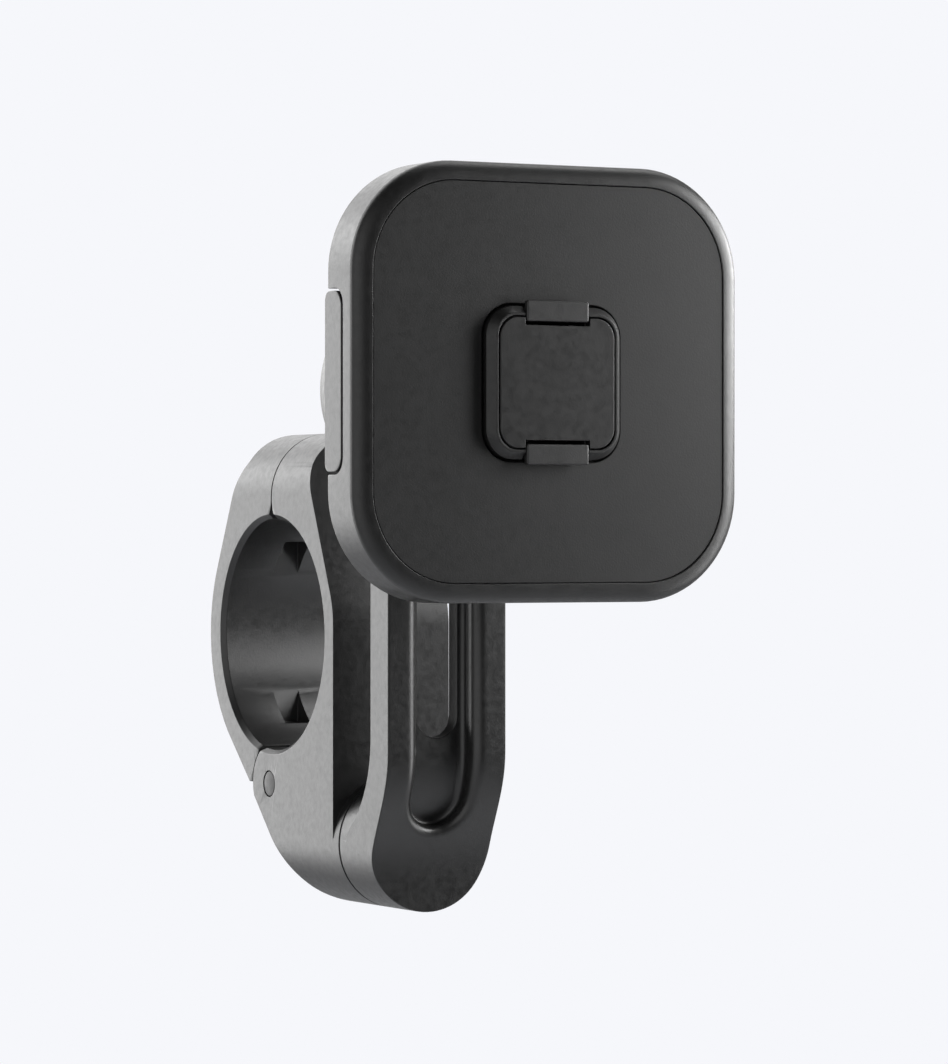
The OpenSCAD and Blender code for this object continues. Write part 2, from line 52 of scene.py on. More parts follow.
SHARP = math.radians(32)        # edges that turn more than this stay crisp


# ---- sizes in millimetres, read from the frame ----

def limits(node):
    """Lowest and highest corner of a CAD node, in millimetres."""
    low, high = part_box(node)
    return low / MM, high / MM


ARM_LOW, ARM_HIGH = limits("arm")
SHELL_LOW, SHELL_HIGH = limits("head_shell")
BEZEL_LOW, BEZEL_HIGH = limits("head_bezel")
PANEL_LOW, PANEL_HIGH = limits("front_panel")
HEAD_Z = (SHELL_LOW.z + SHELL_HIGH.z) / 2


# ---- node materials ----

class Nodes:
    """A node tree, with short calls for what the finishes and the room share."""

    def __init__(self, tree):
        self.tree = tree

    def node(self, kind, **settings):
        made = self.tree.nodes.new(kind)
        for key, value in settings.items():
            setattr(made, key, value)
        return made

    def link(self, source, target):
        self.tree.links.new(source, target)

    def put(self, target, value):
        """Sets a socket to a value, or links an output to it."""
        if isinstance(value, bpy.types.NodeSocket):
            self.link(value, target)
        else:
            target.default_value = value

    def spread(self, value, low, high, start=0.3, end=0.7, easing="LINEAR"):
        """Maps a value from start..end onto low..high."""
        made = self.node("ShaderNodeMapRange", interpolation_type=easing)
        self.put(made.inputs["Value"], value)
        self.put(made.inputs["From Min"], start)
        self.put(made.inputs["From Max"], end)
        self.put(made.inputs["To Min"], low)
        self.put(made.inputs["To Max"], high)
        return made.outputs["Result"]

    def maths(self, operation, a, b):
        made = self.node("ShaderNodeMath", operation=operation)
        self.put(made.inputs[0], a)
        self.put(made.inputs[1], b)
        return made.outputs[0]

    def mix_colour(self, share, a, b):
        made = self.node("ShaderNodeMix", data_type="RGBA")
        self.put(made.inputs["Factor"], share)
        self.put(made.inputs[6], a)
        self.put(made.inputs[7], b)
        return made.outputs[2]


class Shader(Nodes):
    """A surface material."""

    def __init__(self, name):
        self.material = bpy.data.materials.new(name)
        self.material.use_nodes = True
        super().__init__(self.material.node_tree)
        self.tree.nodes.clear()
        self.surface = self.node("ShaderNodeBsdfPrincipled")
        self.link(self.surface.outputs["BSDF"], self.node("ShaderNodeOutputMaterial").inputs["Surface"])
        self.place = self.node("ShaderNodeTexCoord").outputs["Object"]

    def noise(self, size_mm, detail=2.0, stretch=(1, 1, 1)):
        """Noise whose features are about size_mm across."""
        scaled = self.node("ShaderNodeVectorMath", operation="MULTIPLY")
        self.link(self.place, scaled.inputs[0])
        self.put(scaled.inputs[1], stretch)
        made = self.node("ShaderNodeTexNoise")
        self.link(scaled.outputs[0], made.inputs["Vector"])
        self.put(made.inputs["Scale"], 1 / (size_mm * MM))
        self.put(made.inputs["Detail"], detail)
        return made.outputs["Fac"]

    def edges(self, radius_mm):
        """1 at sharp edges, 0 on faces."""
        rounded = self.node("ShaderNodeBevel", samples=4)
        self.put(rounded.inputs["Radius"], radius_mm * MM)
        turn = self.node("ShaderNodeVectorMath", operation="DOT_PRODUCT")
        self.link(rounded.outputs["Normal"], turn.inputs[0])
        self.link(self.node("ShaderNodeNewGeometry").outputs["Normal"], turn.inputs[1])
        return self.spread(turn.outputs["Value"], 1.0, 0.0, 0.80, 0.985)

    def bump(self, layers):
        """Stacks height layers, each (value, height in millimetres)."""
        normal = None
        for value, height in layers:
            made = self.node("ShaderNodeBump")
            self.put(made.inputs["Strength"], 1.0)
            self.put(made.inputs["Distance"], height * MM)
            self.put(made.inputs["Height"], value)
            if normal is not None:
                self.link(normal, made.inputs["Normal"])
            normal = made.outputs["Normal"]
        self.link(normal, self.surface.inputs["Normal"])


def grey(value, warmth=0.0):
    """A linear grey, a little warm or cool."""
    return (value * (1 + warmth), value, value * (1 - warmth), 1.0)


def finish(name, colour, rough, metallic=0.0, ior=1.5, grain=0.12, grain_height=0.003,
           cloud=6.0, cloud_share=0.12, rough_share=0.05, worn=None, wear=0.25, stretch=(1, 1, 1),
           coat=0.0):
    """A worked surface: clouded colour, fine grain, uneven roughness and worn edges."""
    s = Shader(name)
    cloudy = s.noise(cloud, 3.0)
    speck = s.noise(grain, 2.0, stretch)
    low = tuple(c * (1 - cloud_share) for c in colour[:3]) + (1.0,)
    high = tuple(min(1.0, c * (1 + cloud_share)) for c in colour[:3]) + (1.0,)
    base = s.mix_colour(s.spread(cloudy, 0.0, 1.0), low, high)
    worn = worn or tuple(min(1.0, c * 2.2 + 0.01) for c in colour[:3]) + (1.0,)
    edge = s.edges(0.16)
    patchy = s.spread(s.noise(1.3, 3.0), 0.25, 1.0, 0.35, 0.6)
    share = s.maths("MULTIPLY", s.maths("MULTIPLY", edge, patchy), wear)
    s.put(s.surface.inputs["Base Color"], s.mix_colour(share, base, worn))
    uneven = s.spread(s.noise(0.9, 4.0), rough - rough_share, rough + rough_share)
    s.put(s.surface.inputs["Roughness"], s.maths("SUBTRACT", uneven, s.maths("MULTIPLY", share, 0.10)))
    s.surface.inputs["Metallic"].default_value = metallic
    s.surface.inputs["IOR"].default_value = ior
    s.surface.inputs["Coat Weight"].default_value = coat
    s.bump([(cloudy, 0.005), (speck, grain_height)])
    return s.material


MATERIALS = {
    "black_anodised": finish("anodised_black", grey(0.009), 0.36, ior=1.62, grain=0.28, grain_height=0.010,
                             cloud_share=0.05),
    "head_anodised": finish("anodised_head", grey(0.018), 0.35, ior=1.62, grain=0.26, grain_height=0.010,
                            cloud_share=0.05),
    "button_anodised": finish("anodised_button", grey(0.017), 0.36, ior=1.62, grain=0.26,
                              grain_height=0.012, cloud_share=0.05),
    "knob_anodised": finish("anodised_knob", grey(0.02), 0.36, ior=1.62, grain=0.15, grain_height=0.006,
                            cloud_share=0.06),
    "steel_pin": finish("steel_pin", grey(0.022), 0.42, metallic=0.6, grain=0.2, grain_height=0.002),
    "black_steel": finish("steel_black", grey(0.035), 0.36, metallic=0.5, grain=0.15),
    "steel_washer": finish("steel_washer", grey(0.42, 0.02), 0.34, metallic=1.0, grain=0.1,
                           grain_height=0.002),
    "brass_insert": finish("brass", (0.52, 0.36, 0.14, 1), 0.34, metallic=1.0, grain=0.12,
                           grain_height=0.002),
    "nylon": finish("nylon_black", grey(0.02), 0.5, grain=0.2, grain_height=0.003),
    "ball_steel": finish("steel_polished", grey(0.45), 0.2, metallic=1.0, grain=0.1, grain_height=0.0005),
    "bezel_rubber": finish("moulded_bezel", grey(0.009), 0.42, ior=1.6, grain=0.28, grain_height=0.016),
    "panel_plastic": finish("moulded_panel", grey(0.010), 0.50, grain=0.28, grain_height=0.013),
    "magnet_nickel": finish("nickel", grey(0.5, 0.03), 0.24, metallic=1.0, grain=0.3,
                            grain_height=0.001),
    "lock_plastic": finish("moulded_lock", grey(0.009), 0.42, ior=1.55, grain=0.25, grain_height=0.008),
    "latch_metal": finish("latch_black", grey(0.017), 0.44, ior=1.6, grain=0.24, grain_height=0.014),
    "spring_steel": finish("steel_spring", grey(0.42), 0.28, metallic=1.0, grain=0.05,
                           grain_height=0.0005),
    "cam_steel": finish("steel_cam", grey(0.38), 0.36, metallic=1.0, grain=0.2, grain_height=0.002,
                        stretch=(0.2, 1, 1)),
}


SLOTS = {row["node"]: row["material_slot"] for row in frame["record"]["subparts"]}
BODY_OF = {node: body for body, nodes in frame["record"]["behaviour"]["bodies"].items() for node in nodes}


# ---- mesh building, in millimetres: rings of points joined by quads ----

def ring_solid(rings, ends="flat"):
    """A closed mesh through rings of equal length: flat ends, pointed ends, or joined last to first."""
    bm = bmesh.new()
    loops = [[bm.verts.new(Vector(point) * MM) for point in ring] for ring in rings]
    pairs = list(zip(loops, loops[1:]))
    if ends == "joined":
        pairs.append((loops[-1], loops[0]))
    count = len(loops[0])
    for a, b in pairs:
        for i in range(count):
            j = (i + 1) % count
            bm.faces.new((a[i], a[j], b[j], b[i]))
    if ends == "flat":
        bm.faces.new(loops[0])
        bm.faces.new(loops[-1])
    bmesh.ops.remove_doubles(bm, verts=bm.verts, dist=1e-6)
    bmesh.ops.dissolve_degenerate(bm, dist=1e-7, edges=bm.edges)
    bmesh.ops.recalc_face_normals(bm, faces=bm.faces)
    return bm


def soft(outline, radius, steps=3, closed=True):
    """Rounds an outline's corners. A point may carry its own radius as a third number."""
    made, count = [], len(outline)
    for i, point in enumerate(outline):
        here = Vector(point[:2])
        size = point[2] if len(point) > 2 else radius
        if not size or (not closed and i in (0, count - 1)):
            made.append(here)
            continue
        back = Vector(outline[i - 1][:2]) - here
        ahead = Vector(outline[(i + 1) % count][:2]) - here
        half = back.angle(ahead) / 2
        reach = min(size / math.tan(half), 0.49 * back.length, 0.49 * ahead.length)
        size = reach * math.tan(half)
        middle = here + (back.normalized() + ahead.normalized()).normalized() * (size / math.sin(half))
        first = here + back.normalized() * reach - middle
        last = here + ahead.normalized() * reach - middle
        for k in range(steps + 1):
            made.append(middle + first.normalized().slerp(last.normalized(), k / steps) * size)
    return made


def arc(centre, radius, start, end, steps):
    """Points on an arc, angles in degrees."""
    angles = [math.radians(start + (end - start) * i / steps) for i in range(steps + 1)]
    return [(centre[0] + radius * math.cos(a), centre[1] + radius * math.sin(a)) for a in angles]


def square_ring(half, corner, distance, steps=20):
    """A rounded square round the head's centre, at a distance in front of the bar's centre."""
    corner = max(corner, 0.02)
    ring = []
    for quarter in range(4):
        for i in range(steps + 1):
            a = math.radians(90 * (quarter + i / steps))
            x = (half - corner) * (1 if quarter in (0, 3) else -1) + corner * math.cos(a)
            z = (half - corner) * (1 if quarter < 2 else -1) + corner * math.sin(a)
            ring.append((x, -distance, HEAD_Z + z))
    return ring


def square_rings(half, corner, profile):
    """Rings of a rounded square for a profile of (inset, distance)."""
    return [square_ring(half - inset, corner - inset, distance) for inset, distance in profile]


def round_rings(profile, centre=(0, 0), steps=96, along="y"):
    """Rings round an axis for a profile of (radius, distance)."""
    rings = []
    for radius, distance in profile:
        ring = []
        for i in range(steps):
            a = 2 * math.pi * i / steps
            u, v = centre[0] + radius * math.cos(a), centre[1] + radius * math.sin(a)
            ring.append((u, -distance, v) if along == "y" else (distance, u, v))
        rings.append(ring)
    return rings


def turned(node, profile, centre, along="y", hollow=True, steps=96):
    """A turned part from the CAD node's place: a closed section when hollow, else from axis to axis."""
    bm = ring_solid(round_rings(profile, centre, steps, along), "joined" if hollow else "pointed")
    return finish_piece(node, bm)


def break_edges(bm, size_mm, segments=2, chosen=lambda edge: True):
    """Rounds every edge that turns sharply and is chosen."""
    corners = [edge for edge in bm.edges if edge.calc_face_angle(0) > SHARP and chosen(edge)]
    if corners:
        bmesh.ops.bevel(bm, geom=corners, offset=size_mm * MM, offset_type="OFFSET", segments=segments,
                        profile=0.5, affect="EDGES", clamp_overlap=False, miter_outer="ARC")


def join(bm, tool, operation):
    """Exact union or difference of two closed meshes; frees both and returns a new one."""
    objects = []
    for i, part in enumerate((bm, tool)):
        mesh = bpy.data.meshes.new(f"join_{i}")
        part.to_mesh(mesh)
        part.free()
        made = bpy.data.objects.new(f"join_{i}", mesh)
        bpy.context.scene.collection.objects.link(made)
        objects.append(made)
    cut = objects[0].modifiers.new("cut", "BOOLEAN")
    cut.object = objects[1]
    cut.operation = operation
    cut.solver = "EXACT"
    shape = objects[0].evaluated_get(bpy.context.evaluated_depsgraph_get())
    result = bmesh.new()
    result.from_mesh(shape.to_mesh())
    shape.to_mesh_clear()
    for made in objects:
        mesh = made.data
        bpy.data.objects.remove(made)
        bpy.data.meshes.remove(mesh)
    bmesh.ops.remove_doubles(result, verts=result.verts, dist=1e-7)
    return result


def block(x, up, distance):
    """A box of the head, from its limits across, up from the head's centre, and in front of the bar."""
    bm = bmesh.new()
    bmesh.ops.create_cube(bm, size=1)
    for vert in bm.verts:
        share = vert.co + Vector((0.5, 0.5, 0.5))
        vert.co = Vector((
            x[0] + (x[1] - x[0]) * share.x,
            -distance[0] - (distance[1] - distance[0]) * share.y,
            HEAD_Z + up[0] + (up[1] - up[0]) * share.z,
        )) * MM
    bmesh.ops.recalc_face_normals(bm, faces=bm.faces)
    return bm


def finish_piece(node, bm):
    """Turns a finished mesh into the shown piece that stands for a CAD node."""
    mesh = bpy.data.meshes.new(node)
    bm.to_mesh(mesh)
    bm.free()
    piece = bpy.data.objects.new(node + "_visual", mesh)
    bpy.context.scene.collection.objects.link(piece)
    mesh.materials.append(MATERIALS[SLOTS[node]])
    for face in mesh.polygons:
        face.use_smooth = True
    mesh.set_sharp_from_angle(angle=SHARP)
    even = piece.modifiers.new("even", "WEIGHTED_NORMAL")
    even.keep_sharp = True
    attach(piece, BODY_OF[node])
    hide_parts(node)
    return piece


def pair_up(bm):
    """Joins the two triangles of each flat strip of a curved face, so that it shades evenly."""
    curved = [face for face in bm.faces if max(abs(c) for c in face.normal) < 0.9998]
    bmesh.ops.join_triangles(bm, faces=curved, angle_face_threshold=0.01, angle_shape_threshold=math.pi)


def fine_copy(node):
    """A welded copy of a CAD node's mesh."""
    bm = bmesh.new()
    bm.from_mesh(frame["nodes"][node].data)
    bmesh.ops.remove_doubles(bm, verts=bm.verts, dist=0.03 * MM)
    bmesh.ops.dissolve_degenerate(bm, dist=1e-6, edges=bm.edges)
    pair_up(bm)
    return bm


def carry(node, edge_mm=0.12, segments=2):
    """A finer copy of a CAD node, with its edges broken by a small round."""
    bm = fine_copy(node)
    if edge_mm:
        break_edges(bm, edge_mm, segments)
    return finish_piece(node, bm)


# ---- fasteners ----

def hexagon(radius, angle):
    """Distance from a hexagon's centre to its side, in a direction."""
    return radius * math.cos(math.pi / 6) / math.cos(angle % (math.pi / 3) - math.pi / 6)


def cap_screw(centre, seat, facing, shank_r, length, head_r, head_h, socket_r):
    """A socket-head screw: its head stands on the seat and faces forwards (1) or backwards (-1)."""
    steps, edge = 48, min(0.35, head_h / 3)
    tip = min(0.5, shank_r / 3)
    sections = [
        (socket_r, head_h / 2, True), (socket_r, head_h - edge / 2, True), (socket_r + edge / 2, head_h, True),
        (head_r - edge, head_h, False), (head_r - edge * 0.3, head_h - edge * 0.3, False),
        (head_r, head_h - edge, False), (head_r, 0.12, False), (head_r - 0.12, 0, False),
        (shank_r, 0, False), (shank_r, -length + tip, False), (shank_r - tip, -length, False),
    ]
    rings = []
    for radius, height, is_hex in sections:
        ring = []
        for i in range(steps):
            a = 2 * math.pi * i / steps
            r = hexagon(radius, a) if is_hex else radius
            ring.append((centre[0] + r * math.cos(a), -(seat + facing * height), centre[1] + r * math.sin(a)))
        rings.append(ring)
    return ring_solid(rings)


def add_to(bm, other):
    """Moves a second mesh's faces into the first."""
    mesh = bpy.data.meshes.new("moved")
    other.to_mesh(mesh)
    other.free()
    bm.from_mesh(mesh)
    bpy.data.meshes.remove(mesh)
    return bm


def span(node):
    """Centre (x, z), outer radius, and nearest and furthest distance of a round node along Y."""
    low, high = limits(node)
    centre = ((low.x + high.x) / 2, (low.z + high.z) / 2)
    return centre, (high.x - low.x) / 2, -high.y, -low.y


def make_washer(node, inner, edge):
    centre, outer, near, far = span(node)
    turned(node, soft([(inner, near), (outer, near), (outer, far), (inner, far)], edge), centre)


def make_fasteners():
    for node in ("clamp_screw", "pivot_bolt"):
        centre, head_r, near, far = span(node)
        head_h = {"clamp_screw": 4.8, "pivot_bolt": 4.6}[node]
        finish_piece(node, cap_screw(centre, near + head_h, -1, 2.5, far - near - head_h, head_r, head_h, 2.3))
    centre, _, near, far = span("stud_screws")
    bm = bmesh.new()
    for i in range(3):
        a = math.radians(90 + 120 * i)
        at = (6.3 * math.cos(a), HEAD_Z + 6.3 * math.sin(a))
        add_to(bm, cap_screw(at, far - 0.62, 1, 1.25, far - near - 0.62, 2.2, 0.62, 0.9))
    finish_piece("stud_screws", bm)
    low, high = limits("lock_frame_screws")
    post = high.x - 1.6
    bm = bmesh.new()
    for x in (-post, post):
        for up in (-post, post):
            add_to(bm, cap_screw((x, HEAD_Z + up), -low.y - 0.9, 1, 0.8, high.y - low.y - 0.9, 1.6, 0.9, 0.7))
    finish_piece("lock_frame_screws", bm)
    make_washer("clamp_washer", 2.6, 0.1)
    make_washer("pivot_spring_washer", 2.6, 0.12)
    make_washer("knob_washer", 3.1, 0.15)
    make_washer("pivot_friction_disc", 2.6, 0.08)
    make_washer("clamp_insert", 3.0, 0.2)
    low, high = limits("hinge_pin")
    radius, reach = (high.y - low.y) / 2, high.x
    centre = ((low.y + high.y) / 2, (low.z + high.z) / 2)
    profile = soft([(0, -reach), (radius, -reach), (radius, reach), (0, reach)], 0.3, 4, closed=False)
    turned("hinge_pin", profile, centre, along="x", hollow=False)


# ---- arm ----

ARM_FRONT, ARM_BACK, DISC_BACK = -ARM_LOW.y, 33.1, -ARM_HIGH.y
END_R = ARM_HIGH.x                  # both ends are full round
PIVOT_Z = ARM_LOW.z + END_R
ARM_TOP_Z = ARM_HIGH.z - END_R      # centre of the top end's round
BEND_TOP, BEND_H, BEND_DEPTH = -16.5, 19.5, 6.0
BACK_CURVE_R, BACK_CURVE_Z = 16.5, -14.5
SLOT_HALF, SLOT_LOW, SLOT_DEPTH = 4.5, -22.9, 3.3
SLOT_ROUND, SLOT_FOOT = 1.8, 1.0    # the slot's outer and inner fillets
THROUGH_HALF, THROUGH_LOW = 3.2, -11.3
ARM_EDGE = 0.15
THROUGH_EDGE = 0.15                # bevel on the through-slot's front edge


def bend(z):
    """How far the arm's front leans back at a height."""
    t = min(max((BEND_TOP - z) / BEND_H, 0), 1)
    return BEND_DEPTH * (1 - math.cos(math.pi * t)) / 2


def arm_back(z):
    """Distance of the arm's back face, which curves back towards the pivot disc."""
    drop = min(max(BACK_CURVE_Z - z, 0), BACK_CURVE_R)
    distance = ARM_BACK - BACK_CURVE_R + math.sqrt(BACK_CURVE_R ** 2 - drop ** 2)
    return max(distance, DISC_BACK + 2)


def slot_ring(half, low, place, sides=30, rounds=40):
    """An upright slot outline round the arm's middle, each point placed by place(z)."""
    hold = 8.0                      # the sides are finely divided below this height
    points = []
    for x, z in arc((0, ARM_TOP_Z), half, 0, 180, rounds):
        points.append((x, z))
    down = [ARM_TOP_Z + (hold - ARM_TOP_Z) * i / 6 for i in range(1, 6)]
    down += [hold + (low - hold) * i / sides for i in range(sides)]
    points += [(-half, z) for z in down]
    points += arc((0, low), half, 180, 360, rounds)
    points += [(half, z) for z in reversed(down)]
    return [(x, -place(z), z) for x, z in points]


def front_at(depth):
    return lambda z: ARM_FRONT - bend(z) - depth


def back_at(depth):
    return lambda z: arm_back(z) + depth


def between(start, end, steps):
    """Slot rings spread between two outlines, each (half width, low centre)."""
    return [(start[0] + (end[0] - start[0]) * i / steps, start[1] + (end[1] - start[1]) * i / steps)
            for i in range(1, steps)]


def make_arm():
    outer = (END_R - ARM_EDGE, PIVOT_Z)
    rim = (SLOT_HALF + SLOT_ROUND, SLOT_LOW)
    rings = [slot_ring(*outer, front_at(0))]
    rings += [slot_ring(half, low, front_at(0)) for half, low in between(outer, rim, 8)]
    for i in range(9):              # the slot's rounded lip
        a = math.radians(90 * i / 8)
        depth = SLOT_ROUND * (1 - math.cos(a))
        rings.append(slot_ring(rim[0] - SLOT_ROUND * math.sin(a), SLOT_LOW, front_at(depth)))
    for i in range(7):              # the fillet at the foot of its wall
        a = math.radians(90 * i / 6)
        depth = SLOT_DEPTH - SLOT_FOOT * (1 - math.sin(a))
        rings.append(slot_ring(SLOT_HALF - SLOT_FOOT * (1 - math.cos(a)), SLOT_LOW, front_at(depth)))
    floor = (SLOT_HALF - SLOT_FOOT, SLOT_LOW)
    lip = (THROUGH_HALF + THROUGH_EDGE, THROUGH_LOW)
    rings += [slot_ring(half, low, front_at(SLOT_DEPTH)) for half, low in between(floor, lip, 8)]
    rings += [slot_ring(lip[0], THROUGH_LOW, front_at(SLOT_DEPTH))]
    rings += [slot_ring(THROUGH_HALF, THROUGH_LOW, front_at(SLOT_DEPTH + THROUGH_EDGE))]
    rings += [slot_ring(THROUGH_HALF, THROUGH_LOW, back_at(0.12))]
    through = (THROUGH_HALF + 0.12, THROUGH_LOW)
    rings += [slot_ring(*through, back_at(0))]
    rings += [slot_ring(half, low, back_at(0)) for half, low in between(through, outer, 16)]
    for i in range(4):              # the back's outer edge, then the front's
        a = math.radians(90 * i / 3)
        inset = ARM_EDGE * (1 - math.sin(a))
        rings.append(slot_ring(END_R - inset, PIVOT_Z, back_at(ARM_EDGE * (1 - math.cos(a)))))
    for i in range(3):
        a = math.radians(90 * i / 3)
        inset = ARM_EDGE * (1 - math.cos(a))
        rings.append(slot_ring(END_R - inset, PIVOT_Z, front_at(ARM_EDGE * (1 - math.sin(a)))))
    body = ring_solid(rings, "joined")
    near, far = DISC_BACK, DISC_BACK + 6
    section = [(0, near), (END_R - ARM_EDGE, near), (END_R, near + ARM_EDGE), (END_R, far), (0, far)]
    disc = ring_solid(round_rings(section, (0, PIVOT_Z), 160), "pointed")
    finish_piece("arm", join(body, disc, "UNION"))


# ---- knob, carriage and ball joint ----

def make_knob():
    centre, _, back, front = span("clamp_knob")
    dome_r, dome_at = 17.2, 36.0
    start = math.degrees(math.atan2(back - dome_at, math.sqrt(dome_r ** 2 - (back - dome_at) ** 2)))
    end = math.degrees(math.asin((front - dome_at) / dome_r))
    dome = arc((0, dome_at), dome_r, start, end, 24)
    outline = [(0, back, 0), (4, back, 0), (8, back, 0), (*dome[0], 1.6)]
    outline += [(r, d, 0) for r, d in dome[3:-1]]
    outline += [(*dome[-1], 0.15), (6.7, front, 0.2), (6.7, front - 0.8, 0), (4.61, front - 0.8, 0.1)]
    outline += [(4.61, back + 0.9, 0), (0, back + 0.9, 0)]
    profile = soft(outline, 0, 6, closed=False)
    flute_r, flute_at, flute_back, blend = 4.2, 17.5, back + 1, 0.7
    rings = []
    for radius, distance in profile:
        ring = []
        for i in range(240):
            a = 2 * math.pi * i / 240
            off = (math.degrees(a) - 30) % 60
            off = math.radians(min(off, 60 - off))
            reach = (flute_at * math.cos(off)) ** 2 - flute_at ** 2 - (distance - flute_back) ** 2 + flute_r ** 2
            r = radius
            if radius > 8 and reach > -20:
                wall = flute_at * math.cos(off) - math.sqrt(max(reach, 0)) + max(-reach, 0) * 0.5
                h = max(blend - abs(r - wall), 0) / blend
                r = min(r, wall) - h * h * blend / 4
            ring.append((centre[0] + r * math.cos(a), -distance, centre[1] + r * math.sin(a)))
        rings.append(ring)
    finish_piece("clamp_knob", ring_solid(rings, "pointed"))


def make_joint():
    """The ball, its seat, the socket and its collar, and the clamped bolt behind them."""
    centre, socket_r, socket_back, socket_front = span("ball_socket")
    _, _, ball_back, stud_front = span("ball_stud")
    ball_r, seat_r = 6.0, 9.0
    ball_at = ball_back + ball_r
    floor, recess = socket_back + 2.5, socket_back + 4.7
    turned("ball_socket", soft([
        (4.05, socket_back, 0.2), (socket_r, socket_back, 0.25), (socket_r, socket_front, 0.2),
        (seat_r + 0.05, socket_front, 0.2), (seat_r + 0.05, recess, 0.1), (6.3, recess, 0.1),
        (6.3, floor, 0.1), (4.05, floor, 0.1)], 0), centre)
    hold = ball_r + 0.05
    _, _, _, collar_front = span("socket_collar")
    mouth = math.degrees(math.acos(4.9 / hold))
    cup = arc((0, ball_at), hold, mouth, 0, 10)
    turned("socket_collar", soft([
        (seat_r, ball_at, 0.1), (seat_r, socket_front + 0.1, 0), (socket_r, socket_front + 0.1, 0.2),
        (socket_r, collar_front, 0.5), (4.9, collar_front, 0.4)] + [(r, d, 0) for r, d in cup], 0), centre)
    _, _, seat_back, seat_front = span("ball_seat")
    low = math.degrees(math.acos(4.4 / hold))
    high = math.degrees(math.asin((seat_front - ball_at) / hold))
    bowl = arc((0, ball_at), hold, high, -low, 12)
    turned("ball_seat", soft([(4.4, seat_back, 0.15), (seat_r, seat_back, 0.2), (seat_r, seat_front, 0.2)]
                             + [(r, d, 0) for r, d in bowl], 0), centre)
    _, flange_r, _, _ = span("ball_stud")
    neck = math.degrees(math.acos(3.0 / ball_r))
    ball = arc((0, ball_at), ball_r, -90, neck, 24)
    turned("ball_stud", soft([(r, d, 0) for r, d in ball] + [
        (3.0, stud_front - 1.17, 0.8), (flange_r, stud_front - 1.17, 0.2),
        (flange_r, stud_front, 0), (0, stud_front, 0)], 0, 4, closed=False), centre, hollow=False)
    _, _, insert_back, insert_front = span("knob_insert")
    turned("knob_insert", soft([
        (0, insert_back, 0), (4.6, insert_back, 0.2), (4.6, insert_front, 0.2), (3.05, insert_front, 0.2),
        (3.05, insert_back + 0.3, 0), (0, insert_back + 0.3, 0)], 0, closed=False), centre, hollow=False)
    carry("carriage_bolt", 0.12)


def make_carriage():
    """The carriage: the foot of its tongue is rounded, to clear the fillets in the arm's slot."""
    foot = limits("carriage")[1].y

    def tongue_foot(edge):
        return all(vert.co.y / MM > foot - 0.01 and math.hypot(vert.co.x / MM, vert.co.z / MM - HEAD_Z) > 3.6
                   for vert in edge.verts)

    bm = fine_copy("carriage")
    break_edges(bm, 1.1, 4, tongue_foot)
    break_edges(bm, 0.15)
    finish_piece("carriage", bm)


# ---- head ----

def make_bezel():
    half, corner = BEZEL_HIGH.x, 15.4
    width = half - PANEL_HIGH.x - 0.1
    rear, front = -SHELL_LOW.y + 0.03, -BEZEL_LOW.y
    seat, deep = -PANEL_HIGH.y - 0.05, -BEZEL_HIGH.y
    crown = []
    for i in range(15):
        a = math.radians(90 * i / 14)
        crown.append(((width - 0.12) * (1 - math.cos(a)), rear + (front - rear) * math.sin(a), 0))
    section = crown + [(width, front - 0.10, 0.05), (width, seat, 0), (3.6, seat, 0), (3.6, deep, 0),
                       (1.85, deep, 0), (1.85, rear, 0)]
    finish_piece("head_bezel", ring_solid(square_rings(half, corner, soft(section, 0)), "joined"))


def make_panel():
    half, corner = PANEL_HIGH.x, 12.6
    back, front = -PANEL_HIGH.y, -PANEL_LOW.y
    opening, edge = 11.0, 0.09
    rings = [square_ring(half - edge * (1 - math.cos(a)), corner, front - edge * (1 - math.sin(a)))
             for a in (0, math.pi / 6, math.pi / 3, math.pi / 2)]
    rings += [square_ring(opening + edge * (1 - math.sin(a)), 4.6, front - edge * (1 - math.cos(a)))
              for a in (0, math.pi / 6, math.pi / 3, math.pi / 2)]
    rings += [square_ring(opening, 4.6, back), square_ring(half, corner, back)]
    finish_piece("front_panel", ring_solid(rings, "joined"))


TAB_HALF = 4.9                      # half width of a latch tab
TAB_SLOT = 7.95                     # where the latches' slots start, up from the head's centre


